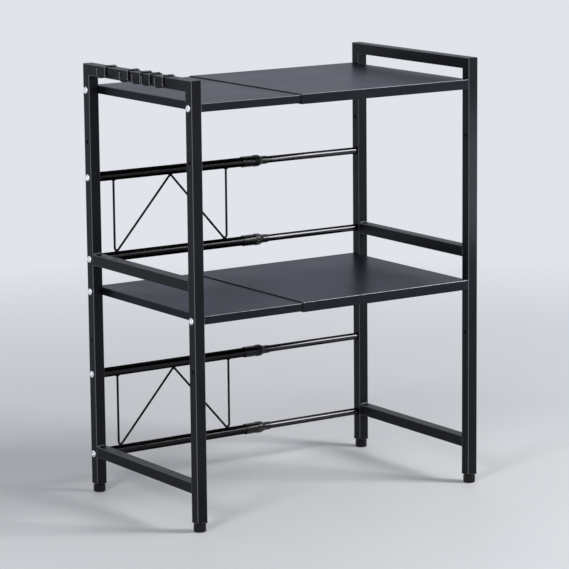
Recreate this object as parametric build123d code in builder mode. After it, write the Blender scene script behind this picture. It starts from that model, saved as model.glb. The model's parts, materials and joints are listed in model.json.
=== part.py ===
"""Width-extending two-shelf microwave stand in steel tube and sheet. Millimetres, +Z up, front towards -Y.

The origin is on the floor, under the middle of the stand's box with the hooks on its left rail.
"""
import math
import os

from build123d import *

os.makedirs("parts", exist_ok=True)

# Overall size, at the full extension
stand_width = 600.0
collapsed_width = 400.0
stand_depth = 360.0
stand_height = 776.0

# Square tube of the side frames
tube = 20.0
tube_wall = 1.0
tube_corner = 1.8

# Heights above the floor
tube_end_height = 18.0
bottom_rail_height = 65.5
lower_deck_height = 375.5
mid_rail_rise = 41.0
upper_deck_drop = 19.0
shelf_bolt_drop = 8.0
upper_spare_drop = 92.0
lower_spare_drop = 88.0

# Shelf trays
sheet = 0.8
bend_radius = 1.8
inner_flange = 14.5
tray_gap = 0.6
lip_gap = 1.0
lip_width = 9.0
end_gap = 1.0

# Telescopic back rails
low_rail_lift = 5.0
thick_radius = 8.6
thin_radius = 6.25
rail_wall = 1.0
thin_length = 334.0
insert_length = 18.0
seat_fit = 0.05

# Twist locks on the back rails
sleeve_radius = 10.1
sleeve_length = 24.0
sleeve_cover = 14.0
sleeve_chamfer = 0.6
spigot_radius = 8.3
spigot_length = 14.0
spigot_wall = 0.8
collet_length = 12.0
collet_slot = 1.6
nut_radius = 10.7
nut_neck_radius = 9.5
nut_nose_radius = 7.9
nut_end_radius = 7.4
nut_length = 31.0
nut_neck = 1.8
nut_slope = 0.6
nut_barrel = 10.5
nut_nose_start = 18.5
nut_grooves = 16
nut_groove_radius = 1.2
nut_groove_offset = 0.4
turn_gap = 0.35

# Zig-zag brace wires
brace_radius = 2.0
brace_bend = 4.5
brace_rise = 146.5
brace_inset = 32.0
brace_end_inset = 48.0

# Bolts and nuts, metric six
bolt_radius = 3.0
hole_radius = 3.25
head_radius = 6.2
head_height = 2.4
head_round = 2.0
socket_flat = 2.0
socket_depth = 1.4
shelf_bolt_length = 26.0
rail_bolt_length = 35.0
weld_nut_flat = 5.0
weld_nut_height = 5.0

# Levelling feet, metric eight studs
plug_flange = 2.5
plug_overhang = 0.4
plug_depth = 18.0
plug_fit = 0.1
stud_radius = 4.0
stud_reach = 30.0
stud_foot = 5.0
stud_chamfer = 1.0
stud_nut_flat = 6.5
stud_nut_height = 6.5
pad_radius = 10.8
pad_height = 14.0
pad_chamfer = 1.2
pad_grooves = 18
pad_groove_radius = 1.0
pad_groove_offset = 0.15
pad_groove_start = 3.0
hub_radius = 6.5

# Wire hooks on the left top rail, from the rear one forward
hook_places = (100.0, 23.0, -18.5, -49.5, -92.0)
hook_radius = 1.5
hook_gap = 0.3
hook_reach = 19.5
hook_bend = 3.5
hook_sweep = 6.5
hook_flare = 4.0
hook_lip = 13.0
hook_drop = 19.0
hook_tip_drop = 1.0
hook_end_round = 1.2

# Places that follow from the sizes above
tube_inside = tube - 2 * tube_wall
left_face = (hook_reach - head_height - stand_width) / 2
left_inside = left_face + tube
right_face = left_face + stand_width
right_inside = right_face - tube
left_leg_x = left_face + tube / 2
right_leg_x = right_face - tube / 2
front_face = -stand_depth / 2
rear_face = stand_depth / 2
front_leg_y = front_face + tube / 2
rear_leg_y = rear_face - tube / 2
leg_places = (front_leg_y, rear_leg_y)
travel = stand_width - collapsed_width
top_rail_height = stand_height - tube
upper_deck_height = top_rail_height - upper_deck_drop
deck_heights = {"upper": upper_deck_height, "lower": lower_deck_height}
shelf_bolt_heights = [height - shelf_bolt_drop for height in deck_heights.values()]
spare_heights = [
    shelf_bolt_heights[0] - upper_spare_drop,
    shelf_bolt_heights[1] - lower_spare_drop,
]
mid_rail_height = lower_deck_height + mid_rail_rise
mid_axis = mid_rail_height + tube / 2
low_axis = bottom_rail_height + low_rail_lift
rail_heights = (mid_axis + brace_rise, mid_axis, low_axis + brace_rise, low_axis)
inner_tray_inset = sheet + tray_gap
inner_tray_end = right_inside - travel - end_gap - sheet
outer_tray_start = left_inside + end_gap + travel
outer_flange = inner_flange + tray_gap + sheet + lip_gap + sheet
nut_end = right_inside - travel - end_gap
nut_start = nut_end - nut_length
sleeve_start = nut_start - sleeve_length
thick_end = sleeve_start + sleeve_cover
thin_start = right_inside - thin_length
thick_bore = thick_radius - rail_wall
thin_bore = thin_radius - rail_wall


def export(part, name):
    part.label = name
    export_step(part, f"parts/{name}.step")


def hexagon_radius(flat):
    return flat / math.cos(math.pi / 6)


def leg(x, y, corner_y, heights):
    """An upright tube, mitred at the top to its outer face at corner_y, with through holes at the heights."""
    inward = math.copysign(tube, y - corner_y)
    with BuildPart() as piece:
        with BuildSketch(Plane.XY.offset(tube_end_height)):
            with Locations((x, y)):
                RectangleRounded(tube, tube, tube_corner)
                RectangleRounded(tube_inside, tube_inside, tube_corner - tube_wall, mode=Mode.SUBTRACT)
        extrude(amount=stand_height - tube_end_height)
        with BuildSketch(Plane.YZ.offset(x - tube)):
            with BuildLine():
                Polyline(
                    (corner_y, stand_height),
                    (corner_y + 2 * inward, stand_height),
                    (corner_y + 2 * inward, stand_height - 2 * tube),
                    close=True,
                )
            make_face()
        extrude(amount=2 * tube, mode=Mode.SUBTRACT)
        with BuildSketch(Plane.YZ.offset(x - tube)):
            with Locations(*[(y, height) for height in heights]):
                Circle(hole_radius)
        extrude(amount=2 * tube, mode=Mode.SUBTRACT)
    return piece.part


def cross_rail(x, height, start, end):
    """A square tube from front to rear with its underside at the height."""
    with BuildPart() as piece:
        with BuildSketch(Plane.XZ.offset(-start)):
            with Locations((x, height + tube / 2)):
                RectangleRounded(tube, tube, tube_corner)
                RectangleRounded(tube_inside, tube_inside, tube_corner - tube_wall, mode=Mode.SUBTRACT)
        extrude(amount=start - end)
    return piece.part


def top_rail(x):
    """The top rail, mitred at both ends to sit on the legs."""
    with BuildPart() as piece:
        add(cross_rail(x, top_rail_height, front_face, rear_face))
        with BuildSketch(Plane.YZ.offset(x - tube)):
            for corner_y, inward in ((front_face, tube), (rear_face, -tube)):
                with BuildLine():
                    Polyline(
                        (corner_y, stand_height),
                        (corner_y, stand_height - 2 * tube),
                        (corner_y + 2 * inward, stand_height - 2 * tube),
                        close=True,
                    )
                make_face()
        extrude(amount=2 * tube, mode=Mode.SUBTRACT)
    return piece.part


def tray_block(x_closed, x_open, y_half, z_low, z_high, radius):
    """A block with rounded top edges and a rounded closed end, the outside or the inside of a tray."""
    with BuildPart() as block:
        with BuildSketch(Plane.XY.offset(z_low)):
            with Locations(((x_closed + x_open) / 2, 0)):
                Rectangle(abs(x_open - x_closed), 2 * y_half)
        extrude(amount=z_high - z_low)
        end = 0 if x_closed < x_open else -1
        top = block.faces().sort_by(Axis.Z)[-1]
        long_edges = top.edges().filter_by(Axis.X)
        end_edge = top.edges().filter_by(Axis.Y).sort_by(Axis.X)[end]
        corners = block.edges().filter_by(Axis.Z).group_by(Axis.X)[end]
        fillet([*long_edges, end_edge, *corners], radius=radius)
    return block.part


def tray(x_closed, x_open, y_half, deck, flange, lip):
    """A shelf tray with turned-down edges, open at one end, with inward lips below if lip is set."""
    side = math.copysign(1, x_open - x_closed)
    x_hollow = x_closed + side * sheet
    x_past = x_open + side * tube
    low = deck - flange
    hollow_low = low + sheet if lip else low - tube
    y_hollow = y_half - sheet
    with BuildPart() as piece:
        add(tray_block(x_closed, x_open, y_half, low, deck, bend_radius))
        hollow = tray_block(x_hollow, x_past, y_hollow, hollow_low, deck - sheet, bend_radius - sheet)
        add(hollow, mode=Mode.SUBTRACT)
        if lip:
            with BuildSketch(Plane.XY.offset(low - sheet)):
                with Locations(((x_hollow + x_past) / 2, 0)):
                    Rectangle(abs(x_past - x_hollow), 2 * (y_half - lip))
            extrude(amount=3 * sheet, mode=Mode.SUBTRACT)
        with BuildSketch(Plane.YZ.offset(x_closed - tube / 2)):
            with Locations(*[(y, deck - deck_step(lip) - shelf_bolt_drop) for y in leg_places]):
                Circle(hole_radius)
        extrude(amount=tube, mode=Mode.SUBTRACT)
    return piece.part


def deck_step(lip):
    """How far a tray's deck stands above the shelf height: the outer tray rides over the inner one."""
    return sheet + tray_gap if lip else 0.0


def bolts(face, inward, places, length):
    """Round-headed socket bolts driven in from a leg's outer face."""
    with BuildPart() as group:
        for y, z in places:
            with BuildSketch(Plane(origin=(face, y, z), x_dir=(0, 1, 0), z_dir=(-inward, 0, 0))):
                Circle(head_radius)
            extrude(amount=head_height)
        rims = group.edges().filter_by(GeomType.CIRCLE).group_by(Axis.X)
        fillet(rims[0] if inward > 0 else rims[-1], radius=head_round)
        for y, z in places:
            outer = face - inward * head_height
            with BuildSketch(Plane(origin=(outer, y, z), x_dir=(0, 1, 0), z_dir=(inward, 0, 0))):
                RegularPolygon(hexagon_radius(socket_flat), 6)
            extrude(amount=socket_depth, mode=Mode.SUBTRACT)
            with BuildSketch(Plane(origin=(face, y, z), x_dir=(0, 1, 0), z_dir=(inward, 0, 0))):
                Circle(bolt_radius)
            extrude(amount=length)
    return group.part


def weld_nuts(face, inward):
    """Hexagon nuts on the inside of the shelf end flanges."""
    with BuildPart() as group:
        for z in shelf_bolt_heights:
            for y in leg_places:
                with BuildSketch(Plane(origin=(face, y, z), x_dir=(0, 1, 0), z_dir=(inward, 0, 0))):
                    RegularPolygon(hexagon_radius(weld_nut_flat), 6)
                    Circle(bolt_radius + seat_fit, mode=Mode.SUBTRACT)
                extrude(amount=weld_nut_height)
    return group.part


def round_tube(start, end, height, radius, bore):
    """A round tube along X on a back rail's axis."""
    with BuildPart() as piece:
        with BuildSketch(Plane.YZ.offset(start)):
            with Locations((rear_leg_y, height)):
                Circle(radius)
                Circle(bore, mode=Mode.SUBTRACT)
        extrude(amount=end - start)
    return piece.part


def rail_inserts(start, end, radius):
    """Threaded inserts in the tube ends that take the rail bolts."""
    with BuildPart() as group:
        with BuildSketch(Plane.YZ.offset(start)):
            with Locations(*[(rear_leg_y, height) for height in rail_heights]):
                Circle(radius - seat_fit)
                Circle(bolt_radius + seat_fit, mode=Mode.SUBTRACT)
        extrude(amount=end - start)
    return group.part


def lock_sleeve(height):
    """The fixed half of a twist lock: a sleeve on the thick tube with a threaded spigot towards the nut."""
    rod_bore = thin_radius + turn_gap
    with BuildPart() as piece:
        with BuildSketch(Plane.XZ.offset(-rear_leg_y)):
            with BuildLine():
                Polyline(
                    (sleeve_start, height + thick_radius + seat_fit),
                    (sleeve_start, height + sleeve_radius),
                    (nut_start, height + sleeve_radius),
                    (nut_start, height + spigot_radius),
                    (nut_start + spigot_length, height + spigot_radius),
                    (nut_start + spigot_length, height + spigot_radius - spigot_wall),
                    (nut_start, height + spigot_radius - spigot_wall),
                    (nut_start, height + rod_bore),
                    (thick_end, height + rod_bore),
                    (thick_end, height + thick_radius + seat_fit),
                    close=True,
                )
            make_face()
        revolve(axis=Axis((0, rear_leg_y, height), (1, 0, 0)))
        circles = piece.edges().filter_by(GeomType.CIRCLE)
        rims = circles.filter_by(lambda edge: edge.radius > sleeve_radius - seat_fit)
        chamfer(rims, length=sleeve_chamfer)
    return piece.part


def lock_nut(height):
    """The turning half of a twist lock: a neck, a grooved barrel and a nose round the thin tube."""
    rod_bore = thin_radius + turn_gap
    with BuildPart() as piece:
        with BuildSketch(Plane.XZ.offset(-rear_leg_y)):
            with BuildLine():
                Polyline(
                    (nut_start, height + spigot_radius + turn_gap),
                    (nut_start, height + nut_neck_radius),
                    (nut_start + nut_neck, height + nut_neck_radius),
                    (nut_start + nut_neck + nut_slope, height + nut_radius),
                    (nut_start + nut_barrel, height + nut_radius),
                    (nut_start + nut_nose_start, height + nut_nose_radius),
                    (nut_end, height + nut_end_radius),
                    (nut_end, height + rod_bore),
                    (nut_start + spigot_length + 2 * spigot_wall, height + rod_bore),
                    (nut_start + spigot_length + spigot_wall, height + spigot_radius + turn_gap),
                    close=True,
                )
            make_face()
        revolve(axis=Axis((0, rear_leg_y, height), (1, 0, 0)))
        with BuildSketch(Plane(origin=(nut_start, rear_leg_y, height), z_dir=(1, 0, 0))):
            with PolarLocations(nut_radius + nut_groove_offset, nut_grooves):
                Circle(nut_groove_radius)
        extrude(amount=nut_length, mode=Mode.SUBTRACT)
    return piece.part


def collets():
    """Split rings inside the locks that grip the thin tubes."""
    with BuildPart() as group:
        with BuildSketch(Plane.YZ.offset(nut_start)):
            for height in rail_heights:
                with Locations((rear_leg_y, height)):
                    Circle(spigot_radius - spigot_wall - seat_fit)
                    Circle(thin_radius + seat_fit, mode=Mode.SUBTRACT)
                with Locations((rear_leg_y, height + spigot_radius)):
                    Rectangle(collet_slot, spigot_radius, mode=Mode.SUBTRACT)
        extrude(amount=collet_length)
    return group.part


def brace(top, bottom):
    """One bent wire between two thick tubes: down, up to the middle, down, and up again."""
    high = top - thick_radius - brace_radius
    low = bottom + thick_radius + brace_radius
    first = left_inside + brace_inset
    last = thick_end - brace_end_inset
    middle = (first + last) / 2
    foot = Vector(first + brace_bend, low + brace_bend)
    peak = Vector(middle, high - brace_bend)
    line = peak - foot
    lean = math.atan2(line.Y, line.X) - math.acos(2 * brace_bend / line.length)
    normal = Vector(math.cos(lean), math.sin(lean)) * brace_bend
    half_way = (lean - math.pi) / 2
    foot_mid = foot + Vector(math.cos(half_way), math.sin(half_way)) * brace_bend
    foot_out = foot + normal
    peak_in = peak - normal

    def mirrored(point):
        return (2 * middle - point.X, point.Y)

    with BuildPart() as piece:
        with BuildLine(Plane.XZ.offset(-rear_leg_y)) as path:
            Line((first, top), (first, foot.Y))
            ThreePointArc((first, foot.Y), (foot_mid.X, foot_mid.Y), (foot_out.X, foot_out.Y))
            Line((foot_out.X, foot_out.Y), (peak_in.X, peak_in.Y))
            ThreePointArc((peak_in.X, peak_in.Y), (middle, high), mirrored(peak_in))
            Line(mirrored(peak_in), mirrored(foot_out))
            ThreePointArc(mirrored(foot_out), mirrored(foot_mid), (last, foot.Y))
            Line((last, foot.Y), (last, top))
        with BuildSketch(Plane(origin=(first, rear_leg_y, top), z_dir=(0, 0, -1))):
            Circle(brace_radius)
        sweep(path=path.line)
        with BuildSketch(Plane.YZ.offset(left_inside)):
            with Locations((rear_leg_y, top)):
                Circle(thick_radius)
        extrude(amount=thick_end - left_inside, mode=Mode.SUBTRACT)
    return piece.part


def leg_plugs(x):
    """Plastic plugs in the leg ends, with a flange under the tube and a pocket for the stud's nut."""
    inside = tube_inside - 2 * plug_fit
    flange = tube + 2 * plug_overhang
    with BuildPart() as group:
        with BuildSketch(Plane.XY.offset(tube_end_height - plug_flange)):
            with Locations(*[(x, y) for y in leg_places]):
                RectangleRounded(flange, flange, tube_corner + plug_overhang)
        extrude(amount=plug_flange)
        with BuildSketch(Plane.XY.offset(tube_end_height)):
            with Locations(*[(x, y) for y in leg_places]):
                RectangleRounded(inside, inside, tube_corner - tube_wall)
        extrude(amount=plug_depth)
        with BuildSketch(Plane.XY.offset(tube_end_height - plug_flange)):
            with Locations(*[(x, y) for y in leg_places]):
                Circle(stud_radius + turn_gap)
        extrude(amount=plug_flange + plug_depth, mode=Mode.SUBTRACT)
        with BuildSketch(Plane.XY.offset(tube_end_height + plug_depth - stud_nut_height)):
            with Locations(*[(x, y) for y in leg_places]):
                RegularPolygon(hexagon_radius(stud_nut_flat + seat_fit), 6)
        extrude(amount=stud_nut_height, mode=Mode.SUBTRACT)
    return group.part


def plug_nuts(x):
    """The nuts in the leg plugs that the foot studs run in."""
    with BuildPart() as group:
        with BuildSketch(Plane.XY.offset(tube_end_height + plug_depth - stud_nut_height)):
            with Locations(*[(x, y) for y in leg_places]):
                RegularPolygon(hexagon_radius(stud_nut_flat), 6)
                Circle(stud_radius + seat_fit, mode=Mode.SUBTRACT)
        extrude(amount=stud_nut_height)
    return group.part


def foot_stud(x, y):
    with BuildPart() as piece:
        with BuildSketch(Plane.XY.offset(stud_foot)):
            with Locations((x, y)):
                Circle(stud_radius)
        extrude(amount=tube_end_height + stud_reach - stud_foot)
        chamfer(piece.faces().sort_by(Axis.Z)[-1].edges(), length=stud_chamfer)
    return piece.part


def foot_pad(x, y):
    """A ribbed round foot with a blind bore for its stud and a hub that meets the leg plug."""
    with BuildPart() as piece:
        with BuildSketch(Plane.XY):
            with Locations((x, y)):
                Circle(pad_radius)
        extrude(amount=pad_height)
        chamfer(piece.edges().filter_by(GeomType.CIRCLE), length=pad_chamfer)
        with BuildSketch(Plane.XY.offset(pad_groove_start)):
            with Locations((x, y)):
                with PolarLocations(pad_radius + pad_groove_offset, pad_grooves):
                    Circle(pad_groove_radius)
        extrude(amount=pad_height, mode=Mode.SUBTRACT)
        with BuildSketch(Plane.XY.offset(pad_height)):
            with Locations((x, y)):
                Circle(hub_radius)
        extrude(amount=tube_end_height - plug_flange - pad_height)
        with BuildSketch(Plane.XY.offset(stud_foot)):
            with Locations((x, y)):
                Circle(stud_radius + seat_fit)
        extrude(amount=tube_end_height, mode=Mode.SUBTRACT)
    return piece.part


def hook(y):
    """A bent wire over the rail: a lip inside, a bar on top, a drop outside and a foot that turns up."""
    inner = left_inside + hook_gap + hook_radius
    outer = left_face - hook_gap - hook_radius
    over = stand_height + hook_radius
    low = stand_height - hook_drop + hook_radius
    tip_height = stand_height - hook_tip_drop
    flare = math.radians(hook_flare)
    tip_nose = hook_end_round * (1 - math.sin(flare)) + (hook_radius - hook_end_round) * math.cos(flare)
    tip = left_face - hook_reach + tip_nose
    corner = tip + (tip_height - low) * math.tan(flare)
    sweep_start = corner + hook_sweep * math.tan(math.pi / 4 - flare / 2)
    foot = (outer - hook_bend + sweep_start) / 2
    lip = (inner, over - hook_radius - hook_lip)
    with BuildPart() as piece:
        with BuildLine(Plane.XZ.offset(-y)) as path:
            FilletPolyline(lip, (inner, over), (outer, over), (outer, low), (foot, low), radius=hook_bend)
            FilletPolyline((foot, low), (corner, low), (tip, tip_height), radius=hook_sweep)
        with BuildSketch(Plane(origin=(inner, y, lip[1]), z_dir=(0, 0, 1))):
            Circle(hook_radius)
        sweep(path=path.line)
        ends = piece.faces().filter_by(GeomType.PLANE).edges()
        fillet(ends, radius=hook_end_round)
    return piece.part


rear_heights = [*shelf_bolt_heights, *spare_heights, *rail_heights]
front_heights = [*shelf_bolt_heights, *spare_heights]
for side, x in (("left", left_leg_x), ("right", right_leg_x)):
    export(leg(x, front_leg_y, front_face, front_heights), f"{side}_front_leg")
    export(leg(x, rear_leg_y, rear_face, rear_heights), f"{side}_rear_leg")
    export(top_rail(x), f"{side}_top_rail")
    inner_start = front_face + tube
    inner_end = rear_face - tube
    export(cross_rail(x, mid_rail_height, inner_start, inner_end), f"{side}_mid_rail")
    export(cross_rail(x, bottom_rail_height, inner_start, inner_end), f"{side}_bottom_rail")
    export(leg_plugs(x), f"{side}_leg_plugs")
    export(plug_nuts(x), f"{side}_plug_nuts")
    for end, y in (("front", front_leg_y), ("rear", rear_leg_y)):
        export(foot_stud(x, y), f"{side}_{end}_foot_stud")
        export(foot_pad(x, y), f"{side}_{end}_foot_pad")

outer_half = stand_depth / 2
inner_half = outer_half - inner_tray_inset
for shelf, deck in deck_heights.items():
    export(tray(left_inside, inner_tray_end, inner_half, deck, inner_flange, 0.0), f"{shelf}_inner_tray")
    outer_deck = deck + deck_step(lip_width)
    export(
        tray(right_inside, outer_tray_start, outer_half, outer_deck, outer_flange, lip_width),
        f"{shelf}_outer_tray",
    )

shelf_places = [(y, z) for z in shelf_bolt_heights for y in leg_places]
rail_places = [(rear_leg_y, z) for z in rail_heights]
for side, face, inward in (("left", left_face, 1), ("right", right_face, -1)):
    export(bolts(face, inward, shelf_places, shelf_bolt_length), f"{side}_shelf_bolts")
    export(bolts(face, inward, rail_places, rail_bolt_length), f"{side}_rail_bolts")
    export(weld_nuts(face + inward * (tube + sheet), inward), f"{side}_shelf_nuts")

export(rail_inserts(left_inside, left_inside + insert_length, thick_bore), "left_rail_inserts")
export(rail_inserts(right_inside - insert_length, right_inside, thin_bore), "right_rail_inserts")
for number, height in enumerate(rail_heights, 1):
    export(round_tube(left_inside, thick_end, height, thick_radius, thick_bore), f"rail_{number}_thick_tube")
    export(round_tube(thin_start, right_inside, height, thin_radius, thin_bore), f"rail_{number}_thin_tube")
    export(lock_sleeve(height), f"rail_{number}_lock_sleeve")
    export(lock_nut(height), f"rail_{number}_lock_nut")
export(collets(), "rail_collets")

export(brace(rail_heights[0], rail_heights[1]), "upper_brace")
export(brace(rail_heights[2], rail_heights[3]), "lower_brace")

for number, y in enumerate(hook_places, 1):
    export(hook(y), f"hook_{number}")
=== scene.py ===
"""Looks of the two-shelf microwave stand: finishes, welds, foot threads, studio, camera. Metres."""
import json
import math

import bmesh
import bpy
from mathutils import Matrix, Vector, noise


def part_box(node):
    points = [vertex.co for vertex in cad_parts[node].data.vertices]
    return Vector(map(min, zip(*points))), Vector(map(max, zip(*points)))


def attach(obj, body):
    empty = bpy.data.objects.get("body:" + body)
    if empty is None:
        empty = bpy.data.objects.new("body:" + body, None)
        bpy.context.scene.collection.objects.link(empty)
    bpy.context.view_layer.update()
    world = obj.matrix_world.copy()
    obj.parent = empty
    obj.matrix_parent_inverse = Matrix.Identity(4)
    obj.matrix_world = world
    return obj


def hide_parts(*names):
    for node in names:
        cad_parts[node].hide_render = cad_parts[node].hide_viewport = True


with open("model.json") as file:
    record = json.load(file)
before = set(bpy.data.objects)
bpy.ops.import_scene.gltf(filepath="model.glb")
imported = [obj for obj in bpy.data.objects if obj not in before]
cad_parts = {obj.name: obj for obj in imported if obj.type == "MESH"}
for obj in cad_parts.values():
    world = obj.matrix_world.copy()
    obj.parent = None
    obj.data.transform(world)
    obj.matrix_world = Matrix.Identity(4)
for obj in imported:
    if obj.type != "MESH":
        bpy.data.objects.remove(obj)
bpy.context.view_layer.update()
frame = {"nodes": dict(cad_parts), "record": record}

# Colours of the finishes, as 0-255 screen values
FRAME_BLACK = (21, 22, 26)
# Painted highlight along the frame's round edges, where the corners catch the light
FRAME_EDGE_HIGHLIGHT = (140, 143, 150)
FRAME_SHINE = (212, 215, 223)
DECK_BLACK = (35, 37, 42)
# Painted highlight along the decks' bent edges, where the bends catch the light
DECK_EDGE_HIGHLIGHT = (150, 154, 162)
DECK_SHINE = (194, 199, 213)
TUBE_BLACK = (62, 62, 64)
# Darker than the thin tubes' black: painted shade for the thick tubes
THICK_SHADED_BLACK = (38, 37, 38)
WIRE_BLACK = (36, 36, 38)
HOOK_BLACK = (100, 100, 104)
RIM_BLACK = (84, 84, 87)
PLASTIC_BLACK = (12, 12, 13)
PLASTIC_SCUFF = (32, 32, 33)
NYLON_WHITE = (206, 202, 190)
ZINC_BRIGHT = (250, 250, 252)
ZINC_DULL = (222, 223, 227)
STEEL_BRIGHT = (176, 174, 170)
STEEL_DULL = (116, 113, 108)
FLOOR_PALE = (232, 233, 236)
BACKDROP = (225, 228, 234)

# Sizes of the surface detail
COAT_GRAIN = 0.0006
COAT_PEEL = 0.0022
COAT_CLOUD = 0.09
DRAWN_LINE = 0.0003
DRAWN_STRETCH = (120, 1, 1)
PLASTIC_GRAIN = 0.0004
PLASTIC_RUB = 0.004
PLASTIC_MOTTLE = 0.012
MACHINED_LINE = 0.0002
METAL_PATCH = 0.006
FLOOR_CLOUD = 0.6

# Depths of the surface detail
FRAME_DEPTH = 0.00005
DECK_DEPTH = 0.00002
DRAWN_DEPTH = 0.000004
TUBE_PEEL_DEPTH = 0.000006
WIRE_DEPTH = 0.00005
HOOK_DEPTH = 0.00001
PLASTIC_DEPTH = 0.000006
MACHINED_DEPTH = 0.00002

# Welds: sizes, shares by which they vary, and how fast their unevenness changes from place to place
BEAD = 0.0028
BEAD_SINK = BEAD / 6
BEAD_RIPPLE = 0.0016
BEAD_RIPPLE_SHARE = 0.07
BEAD_UNEVEN = 0.10
BEAD_UNEVEN_RATE = 900
SEAM_WIDTH = 0.0019
SEAM_PROUD = 0.0005
SEAM_SINK = 0.0004
SEAM_UNEVEN = 0.12
SEAM_UNEVEN_RATE = 700
NUGGET = (0.0044, 0.0030, 0.0017)
NUGGET_UNEVEN = 0.16
NUGGET_UNEVEN_RATE = 2.2
NUGGET_PLACE_RATE = 500
WELD_ARC = 8
WELD_STEPS = 8

# Outside corner of the frame's square tube
CORNER = 0.0018

# Threads of the foot studs, with the pitches over which the tip runs out
THREAD_PITCH = 0.00125
THREAD_DEPTH = 0.00075
THREAD_TIP = 2
THREAD_AROUND = 32
THREAD_STEPS = 6

# Studio: the floor, the distances over which it fades into the backdrop, and the sky as a light
FLOOR_SIZE = 60
BACKDROP_START = (0.6, 2.4)
SKY_LIGHT = 0.42

# Lamps: name, place, target, size and power
LAMPS = (
    ("key", (1.75, -1.75, 1.95), (0.0, 0.1, 0.35), (0.8, 1.5), 58),
    ("fill", (-3.2, -1.8, 2.2), (0.0, 0.0, 0.4), (0.9, 0.9), 42),
    ("low", (0.43, -0.35, 0.53), (0.3, -0.18, 0.57), (0.06, 0.24), 0.28),
)

# Camera, as the photograph sees the stand: angles in degrees, lens and sensor in millimetres
CAMERA_PLACE = (-2.8272, -4.2438, 1.3165)
CAMERA_LENS = 183.16
CAMERA_SENSOR = 36.0
CAMERA_YAW = 33.779
CAMERA_PITCH = 10.476
CAMERA_ROLL = -0.558
CAMERA_FAR = 200


def linear(colour):
    """A 0-255 screen colour as the linear colour that a shader takes."""
    shares = [c / 255 for c in colour]
    return (*[s / 12.92 if s <= 0.04045 else ((s + 0.055) / 1.055) ** 2.4 for s in shares], 1.0)


def shifted(colour, levels):
    """A screen colour made lighter, or darker, by a number of levels."""
    return tuple(c + levels for c in colour)


def largest(tree, values):
    """The largest of several values in a node tree."""
    most, *others = values
    for other in others:
        larger = tree.nodes.new("ShaderNodeMath")
        larger.operation = "MAXIMUM"
        tree.links.new(most, larger.inputs[0])
        tree.links.new(other, larger.inputs[1])
        most = larger.outputs["Value"]
    return most


class Finish:
    """A node material with coordinates in metres, and short calls for nodes that finishes share."""

    def __init__(self, name, **sockets):
        self.material = bpy.data.materials.new(name)
        self.material.use_nodes = True
        self.tree = self.material.node_tree
        self.shader = self.tree.nodes["Principled BSDF"]
        coordinates = self.tree.nodes.new("ShaderNodeTexCoord").outputs
        self.place = coordinates["Object"]
        self.facing = coordinates["Normal"]
        self.bump = None
        for socket, value in sockets.items():
            self.shader.inputs[socket.replace("_", " ")].default_value = value

    def link(self, output, node_input):
        self.tree.links.new(output, node_input)

    def stretched(self, stretch):
        """The coordinates drawn out along an axis by the given factors."""
        mapping = self.tree.nodes.new("ShaderNodeMapping")
        mapping.inputs["Scale"].default_value = [1 / s for s in stretch]
        self.link(self.place, mapping.inputs["Vector"])
        return mapping.outputs["Vector"]

    def grain(self, size, detail=2.0, stretch=None):
        """Noise with features of about the given size."""
        node = self.tree.nodes.new("ShaderNodeTexNoise")
        node.inputs["Scale"].default_value = 1 / size
        node.inputs["Detail"].default_value = detail
        self.link(self.stretched(stretch) if stretch else self.place, node.inputs["Vector"])
        return node.outputs["Fac"]

    def cells(self, size):
        """Rounded cells of about the given size, dark at their middles."""
        node = self.tree.nodes.new("ShaderNodeTexVoronoi")
        node.feature = "SMOOTH_F1"
        node.inputs["Scale"].default_value = 1 / size
        self.link(self.place, node.inputs["Vector"])
        return node.outputs["Distance"]

    def spread(self, value, low, high, start=0.3, end=0.7):
        """The value between start and end, spread from low to high."""
        node = self.tree.nodes.new("ShaderNodeMapRange")
        ends = {"From Min": start, "From Max": end, "To Min": low, "To Max": high}
        for name, number in ends.items():
            node.inputs[name].default_value = number
        self.link(value, node.inputs["Value"])
        return node.outputs["Result"]

    def blend(self, share, first, second):
        """A colour from first to second by a share; each may be a colour or another blend."""
        node = self.tree.nodes.new("ShaderNodeMix")
        node.data_type = "RGBA"
        self.link(share, node.inputs["Factor"])
        for name, colour in (("A", first), ("B", second)):
            socket = next(s for s in node.inputs if s.name == name and s.type == "RGBA")
            if isinstance(colour, tuple):
                socket.default_value = linear(colour)
            else:
                self.link(colour, socket)
        return next(s for s in node.outputs if s.type == "RGBA")

    def edges(self):
        """A share that is 0 on faces square to an axis and 1 on the round edges between them."""
        facing = self.tree.nodes.new("ShaderNodeVectorMath")
        facing.operation = "ABSOLUTE"
        self.link(self.facing, facing.inputs[0])
        axes = self.tree.nodes.new("ShaderNodeSeparateXYZ")
        self.link(facing.outputs["Vector"], axes.inputs["Vector"])
        most = largest(self.tree, [axes.outputs[axis] for axis in "XYZ"])
        return self.spread(most, low=1.0, high=0.0, start=0.80, end=0.98)

    def raised(self, height, depth):
        """Bump of the given depth in metres, on top of any bump before it."""
        node = self.tree.nodes.new("ShaderNodeBump")
        node.inputs["Distance"].default_value = depth
        self.link(height, node.inputs["Height"])
        if self.bump:
            self.link(self.bump, node.inputs["Normal"])
        self.bump = node.outputs["Normal"]
        self.link(self.bump, self.shader.inputs["Normal"])

    def colour(self, output):
        self.link(output, self.shader.inputs["Base Color"])

    def roughness(self, output):
        self.link(output, self.shader.inputs["Roughness"])


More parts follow.
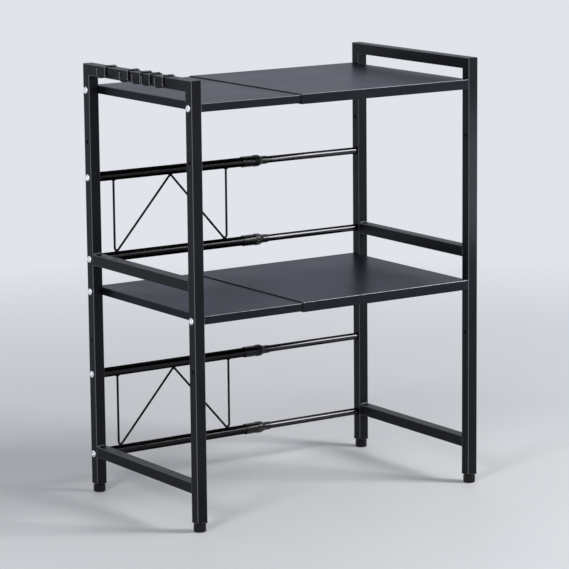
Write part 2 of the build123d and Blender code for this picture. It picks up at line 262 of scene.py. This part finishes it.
def powder_coat(name, base, edge_highlight, rough, depth, **sockets):
    """Baked powder coat: fine grain over soft orange peel, cloudy gloss, and a painted highlight
    along the round edges.
    """
    finish = Finish(name, **sockets)
    grain = finish.grain(COAT_GRAIN)
    cloud = finish.grain(COAT_CLOUD, detail=4.0)
    lighter = shifted(base, 4)
    mottled = finish.blend(finish.spread(cloud, low=0.0, high=1.0), shifted(base, -3), lighter)
    speckles = finish.spread(grain, low=0.0, high=0.35, start=0.5, end=0.8)
    speckled = finish.blend(speckles, mottled, lighter)
    # The round edges are painted lighter: a painted highlight where the corners catch the light
    painted_highlight_share = finish.spread(finish.edges(), low=0.0, high=0.6, start=0.0, end=1.0)
    finish.colour(finish.blend(painted_highlight_share, speckled, edge_highlight))
    finish.roughness(finish.spread(cloud, low=rough - 0.02, high=rough + 0.02))
    finish.raised(finish.grain(COAT_PEEL, detail=1.0), depth)
    finish.raised(grain, depth / 2)
    return finish.material


def gloss_tube(name, base, rough):
    """Enamelled drawn tube: faint lines along its length, glossy face on and dark at its rims."""
    finish = Finish(name, Metallic=1.0, Specular_Tint=linear(RIM_BLACK))
    drawn = finish.grain(DRAWN_LINE, stretch=DRAWN_STRETCH)
    cloud = finish.grain(COAT_CLOUD, detail=3.0)
    finish.colour(finish.blend(finish.spread(cloud, low=0.0, high=1.0), base, shifted(base, 4)))
    finish.roughness(finish.spread(drawn, low=rough - 0.03, high=rough + 0.05))
    finish.raised(drawn, DRAWN_DEPTH)
    finish.raised(finish.grain(COAT_PEEL, detail=1.0), TUBE_PEEL_DEPTH)
    return finish.material


def dipped_wire(name, base, rough, depth):
    """Dip-coated wire: an uneven skin, thicker in places."""
    finish = Finish(name, Metallic=1.0, Specular_Tint=linear(RIM_BLACK))
    peel = finish.grain(COAT_PEEL)
    finish.colour(finish.blend(finish.spread(peel, low=0.0, high=1.0), base, shifted(base, 5)))
    finish.roughness(finish.spread(peel, low=rough - 0.06, high=rough + 0.06))
    finish.raised(peel, depth)
    return finish.material


def moulded_plastic(name, base, scuffed, shine, rough):
    """Moulded plastic with a spark-eroded grain, paler where it is rubbed."""
    finish = Finish(name, Specular_IOR_Level=shine)
    grain = finish.cells(PLASTIC_GRAIN)
    rub = finish.grain(PLASTIC_RUB, detail=5.0)
    mottle = finish.spread(finish.grain(PLASTIC_MOTTLE, detail=3.0), low=0.0, high=1.0)
    mottled = finish.blend(mottle, base, shifted(base, 7))
    scuffs = finish.spread(rub, low=0.0, high=0.5, start=0.62, end=0.78)
    finish.colour(finish.blend(scuffs, mottled, scuffed))
    finish.roughness(finish.spread(rub, low=0.7 * rough, high=1.3 * rough))
    finish.raised(grain, PLASTIC_DEPTH)
    return finish.material


def metal(name, bright, dull, rough, stretch):
    """Bare or plated metal with tool marks and patchy dulling."""
    finish = Finish(name, Metallic=1.0)
    marks = finish.grain(MACHINED_LINE, detail=3.0, stretch=stretch)
    patches = finish.grain(METAL_PATCH, detail=4.0)
    dulling = finish.spread(patches, low=0.0, high=1.0, start=0.4, end=0.75)
    finish.colour(finish.blend(dulling, bright, dull))
    finish.roughness(finish.spread(marks, low=rough - 0.08, high=rough + 0.10))
    finish.raised(marks, MACHINED_DEPTH)
    return finish.material


def dress(finishes):
    """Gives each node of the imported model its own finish, or else the one of its material slot."""
    for part in frame["record"]["subparts"]:
        piece = frame["nodes"][part["node"]]
        finish = finishes.get(part["node"]) or finishes[part["material_slot"]]
        piece.data.materials.clear()
        piece.data.materials.append(finish)


def piece_from(mesh_builder, name, finish, body, smooth=True):
    """A new piece from a bmesh, with its finish, riding on a body of the frame."""
    mesh = bpy.data.meshes.new(name)
    bmesh.ops.recalc_face_normals(mesh_builder, faces=mesh_builder.faces)
    mesh_builder.to_mesh(mesh)
    mesh_builder.free()
    for face in mesh.polygons:
        face.use_smooth = smooth
    mesh.materials.append(finish)
    piece = bpy.data.objects.new(name, mesh)
    bpy.context.scene.collection.objects.link(piece)
    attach(piece, body)
    return piece


def skin(builder, rings):
    """Quads between closed rings of points, capped at both ends."""
    made = [[builder.verts.new(point) for point in ring] for ring in rings]
    count = len(made[0])
    for near, far in zip(made, made[1:]):
        for i in range(count):
            j = (i + 1) % count
            builder.faces.new((near[i], near[j], far[j], far[i]))
    for ring in (made[0], made[-1]):
        builder.faces.new(ring)


def weld_shares(start, end, step):
    """Shares of a weld's length from its start to its end, about a step apart."""
    steps = max(WELD_STEPS, round((end - start).length / step))
    return [i / steps for i in range(steps + 1)]


def tapered(share, tip, rise):
    """A weld's size at a share of its length: small at either tip and full in between."""
    return min(1.0, tip + rise * min(share, 1 - share))


def bead(builder, start, end, first, second):
    """A rippled weld bead along a line, bulging between two directions and tapered at its ends."""
    rings = []
    for share in weld_shares(start, end, BEAD_RIPPLE / 4):
        centre = start.lerp(end, share) - (first + second).normalized() * BEAD_SINK
        along = (end - start).length * share
        uneven = 1 + BEAD_UNEVEN * noise.noise(centre * BEAD_UNEVEN_RATE)
        ripple = 1 + BEAD_RIPPLE_SHARE * math.sin(2 * math.pi * along / BEAD_RIPPLE)
        size = tapered(share, tip=0.25, rise=4) * uneven * ripple
        ring = [centre]
        for i in range(WELD_ARC + 1):
            angle = math.pi / 2 * i / WELD_ARC
            bulge = first * BEAD * math.cos(angle) + second * BEAD * math.sin(angle)
            ring.append(centre + size * bulge)
        rings.append(ring)
    skin(builder, rings)


def seam(builder, start, end, out, across):
    """A ground-down weld that fills the groove between a leg's round corner and a rail's end."""
    rings = []
    for share in weld_shares(start, end, BEAD_RIPPLE / 2):
        centre = start.lerp(end, share) - out * SEAM_SINK
        uneven = 1 + SEAM_UNEVEN * noise.noise(centre * SEAM_UNEVEN_RATE)
        size = tapered(share, tip=0.3, rise=5) * uneven
        ring = []
        for i in range(WELD_ARC + 1):
            angle = math.pi * i / WELD_ARC
            lift = out * (SEAM_PROUD + SEAM_SINK) * math.sin(angle)
            ring.append(centre + size * (across * SEAM_WIDTH * math.cos(angle) + lift))
        rings.append(ring)
    skin(builder, rings)


def frame_welds(side, finish):
    """The welds of one side frame: beads over and under the rails' ends, ground seams beside."""
    builder = bmesh.new()
    up = Vector((0, 0, 1))
    for rail in ("mid_rail", "bottom_rail"):
        low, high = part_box(f"{side}_{rail}")
        for y, away in ((low.y, 1), (high.y, -1)):
            inward = Vector((0, away, 0))
            for z, normal in ((high.z, up), (low.z, -up)):
                start = Vector((low.x + CORNER, y, z))
                end = Vector((high.x - CORNER, y, z))
                bead(builder, start, end, inward, normal)
            for x, out in ((low.x, Vector((-1, 0, 0))), (high.x, Vector((1, 0, 0)))):
                y_groove = y - away * CORNER / 3
                start = Vector((x, y_groove, low.z + CORNER))
                end = Vector((x, y_groove, high.z - CORNER))
                seam(builder, start, end, out, inward)
    low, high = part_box(f"{side}_top_rail")
    tube = high.z - low.z
    for y, away in ((low.y + tube, 1), (high.y - tube, -1)):
        start = Vector((low.x + CORNER, y, low.z))
        end = Vector((high.x - CORNER, y, low.z))
        bead(builder, start, end, Vector((0, away, 0)), -up)
    piece_from(builder, f"{side}_frame_welds", finish, f"{side}_half")


def nugget(builder, place):
    """A small uneven lump of weld metal."""
    made = bmesh.ops.create_icosphere(builder, subdivisions=3, radius=1.0)
    for vert in made["verts"]:
        spot = vert.co * NUGGET_UNEVEN_RATE + place * NUGGET_PLACE_RATE
        lump = 1 + NUGGET_UNEVEN * noise.noise(spot)
        vert.co = place + Vector([size * lump * c for size, c in zip(NUGGET, vert.co)])


def brace_welds(brace, top_tube, low_tube, finish):
    """The spot welds of one brace wire: three under the upper tube and two on the lower tube."""
    builder = bmesh.new()
    low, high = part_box(brace)
    wire = (high.y - low.y) / 2
    middle = (low.x + high.x) / 2
    y = (low.y + high.y) / 2
    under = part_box(top_tube)[0].z
    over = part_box(low_tube)[1].z
    for x in (low.x + wire, middle, high.x - wire):
        nugget(builder, Vector((x, y, under)))
    bend = 2 * wire
    for x in (low.x + wire + bend, high.x - wire - bend):
        nugget(builder, Vector((x, y, over)))
    piece_from(builder, f"{brace}_welds", finish, "left_half")


def threaded_stud(node, finish):
    """A foot's stud with its rolled thread, in place of the plain one."""
    low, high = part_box(node)
    x, y = (low.x + high.x) / 2, (low.y + high.y) / 2
    radius = (high.x - low.x) / 2
    builder = bmesh.new()
    steps = round((high.z - low.z) / THREAD_PITCH * THREAD_STEPS)
    rings = []
    for step in range(steps + 1):
        z = low.z + (high.z - low.z) * step / steps
        entry = min(1.0, (high.z - z) / (THREAD_TIP * THREAD_PITCH))
        ring = []
        for i in range(THREAD_AROUND):
            turn = i / THREAD_AROUND
            phase = ((z - low.z) / THREAD_PITCH - turn) % 1.0
            groove = THREAD_DEPTH * abs(2 * phase - 1)
            r = radius - groove - (1 - entry) * THREAD_DEPTH
            angle = 2 * math.pi * turn
            ring.append((x + r * math.cos(angle), y + r * math.sin(angle), z))
        rings.append(ring)
    skin(builder, rings)
    piece = piece_from(builder, f"{node}_thread", finish, node, smooth=False)
    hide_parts(node)


def seen_rays(tree):
    """A share that is 1 for what is seen, straight, mirrored or through glass, 0 for lighting."""
    path = tree.nodes.new("ShaderNodeLightPath")
    rays = ("Is Camera Ray", "Is Glossy Ray", "Is Transmission Ray")
    return largest(tree, [path.outputs[ray] for ray in rays])


def floor_finish():
    """A pale matt floor with a faint cloudiness that runs out into the plain backdrop."""
    finish = Finish("floor_pale", Roughness=0.55, Specular_IOR_Level=0.25)
    cloud = finish.spread(finish.grain(FLOOR_CLOUD, detail=5.0), low=0.0, high=1.0)
    finish.colour(finish.blend(cloud, FLOOR_PALE, shifted(FLOOR_PALE, -5)))
    distance = finish.tree.nodes.new("ShaderNodeVectorMath")
    distance.operation = "LENGTH"
    finish.link(finish.place, distance.inputs[0])
    start, end = BACKDROP_START
    faded = finish.spread(distance.outputs["Value"], low=0.0, high=1.0, start=start, end=end)
    share = finish.tree.nodes.new("ShaderNodeMath")
    share.operation = "MULTIPLY"
    finish.link(faded, share.inputs[0])
    finish.link(seen_rays(finish.tree), share.inputs[1])
    plain = finish.tree.nodes.new("ShaderNodeEmission")
    plain.inputs["Color"].default_value = linear(BACKDROP)
    mix = finish.tree.nodes.new("ShaderNodeMixShader")
    finish.link(share.outputs["Value"], mix.inputs["Fac"])
    finish.link(finish.shader.outputs["BSDF"], mix.inputs[1])
    finish.link(plain.outputs["Emission"], mix.inputs[2])
    finish.link(mix.outputs["Shader"], finish.tree.nodes["Material Output"].inputs["Surface"])
    return finish.material


def studio():
    """A pale floor, a pale sky that is brighter to look at than as a light, and soft lamps."""
    bpy.ops.mesh.primitive_grid_add(size=FLOOR_SIZE, x_subdivisions=4, y_subdivisions=4)
    floor = bpy.context.object
    floor.name = "floor"
    floor.data.materials.append(floor_finish())

    world = bpy.data.worlds.new("studio_sky")
    bpy.context.scene.world = world
    world.use_nodes = True
    tree = world.node_tree
    light = tree.nodes["Background"]
    light.inputs["Color"].default_value = linear(BACKDROP)
    light.inputs["Strength"].default_value = SKY_LIGHT
    seen = tree.nodes.new("ShaderNodeBackground")
    seen.inputs["Color"].default_value = linear(BACKDROP)
    mix = tree.nodes.new("ShaderNodeMixShader")
    tree.links.new(seen_rays(tree), mix.inputs["Fac"])
    tree.links.new(light.outputs["Background"], mix.inputs[1])
    tree.links.new(seen.outputs["Background"], mix.inputs[2])
    tree.links.new(mix.outputs["Shader"], tree.nodes["World Output"].inputs["Surface"])

    for name, place, target, size, power in LAMPS:
        lamp(name, place, target, size, power)


def lamp(name, place, target, size, power):
    """A soft rectangular lamp that faces a target."""
    light = bpy.data.lights.new(name, "AREA")
    light.shape = "RECTANGLE"
    light.size, light.size_y = size
    light.energy = power
    holder = bpy.data.objects.new(name, light)
    holder.location = place
    facing = Vector(target) - Vector(place)
    holder.rotation_euler = facing.to_track_quat("-Z", "Y").to_euler()
    holder.visible_camera = False
    bpy.context.scene.collection.objects.link(holder)


def camera():
    """The photograph's viewpoint: a long lens from the front left, a little above."""
    yaw, pitch, roll = (math.radians(a) for a in (CAMERA_YAW, CAMERA_PITCH, CAMERA_ROLL))
    ahead = Vector((math.sin(yaw), math.cos(yaw), 0))
    forward = ahead * math.cos(pitch) - Vector((0, 0, math.sin(pitch)))
    level = Vector((math.cos(yaw), -math.sin(yaw), 0))
    upright = level.cross(forward)
    right = level * math.cos(roll) + upright * math.sin(roll)
    up = upright * math.cos(roll) - level * math.sin(roll)
    view = bpy.data.cameras.new("photo_view")
    view.lens = CAMERA_LENS
    view.sensor_width = CAMERA_SENSOR
    view.clip_end = CAMERA_FAR
    holder = bpy.data.objects.new("photo_view", view)
    turned = Matrix((right, up, -forward)).transposed().to_4x4()
    holder.matrix_world = Matrix.Translation(CAMERA_PLACE) @ turned
    bpy.context.scene.collection.objects.link(holder)
    bpy.context.scene.camera = holder


thick_tubes = [f"rail_{i}_thick_tube" for i in range(1, 5)]
hooks = [f"hook_{i}" for i in range(1, 6)]
hook_coat = dipped_wire("hook_coat", HOOK_BLACK, rough=0.13, depth=HOOK_DEPTH)
finishes = {
    "frame_coat": powder_coat(
        "frame_coat", FRAME_BLACK, FRAME_EDGE_HIGHLIGHT, rough=0.40, depth=FRAME_DEPTH,
        Metallic=0.5, Specular_IOR_Level=0.3, Specular_Tint=linear(FRAME_SHINE)),
    "deck_coat": powder_coat(
        "deck_coat", DECK_BLACK, DECK_EDGE_HIGHLIGHT, rough=0.34, depth=DECK_DEPTH,
        Metallic=0.6, Specular_IOR_Level=0.1, Specular_Tint=linear(DECK_SHINE)),
    "tube_gloss": gloss_tube("tube_gloss", TUBE_BLACK, rough=0.12),
    # The thick tubes take a darker copy of the tube gloss: painted shade that dims their reflections
    **dict.fromkeys(thick_tubes, gloss_tube("thick_tube_shaded_coat", THICK_SHADED_BLACK, rough=0.16)),
    "wire_coat": dipped_wire("wire_coat", WIRE_BLACK, rough=0.24, depth=WIRE_DEPTH),
    **dict.fromkeys(hooks, hook_coat),
    "lock_plastic": moulded_plastic(
        "lock_plastic", PLASTIC_BLACK, PLASTIC_SCUFF, shine=0.3, rough=0.1),
    "foot_plastic": moulded_plastic(
        "foot_plastic", PLASTIC_BLACK, PLASTIC_SCUFF, shine=0.3, rough=0.23),
    "collet_plastic": moulded_plastic(
        "collet_plastic", NYLON_WHITE, ZINC_BRIGHT, shine=0.22, rough=0.23),
    "bolt_zinc": metal("bolt_zinc", ZINC_BRIGHT, ZINC_DULL, rough=0.34, stretch=(1, 6, 6)),
    "plain_steel": metal("plain_steel", STEEL_BRIGHT, STEEL_DULL, rough=0.36, stretch=(6, 6, 1)),
}
dress(finishes)
for side in ("left", "right"):
    frame_welds(side, finishes["frame_coat"])
    for end in ("front", "rear"):
        threaded_stud(f"{side}_{end}_foot_stud", finishes["plain_steel"])
brace_welds("upper_brace", "rail_1_thick_tube", "rail_2_thick_tube", finishes["wire_coat"])
brace_welds("lower_brace", "rail_3_thick_tube", "rail_4_thick_tube", finishes["wire_coat"])
studio()
camera()
bpy.context.scene.view_settings.view_transform = "Standard"
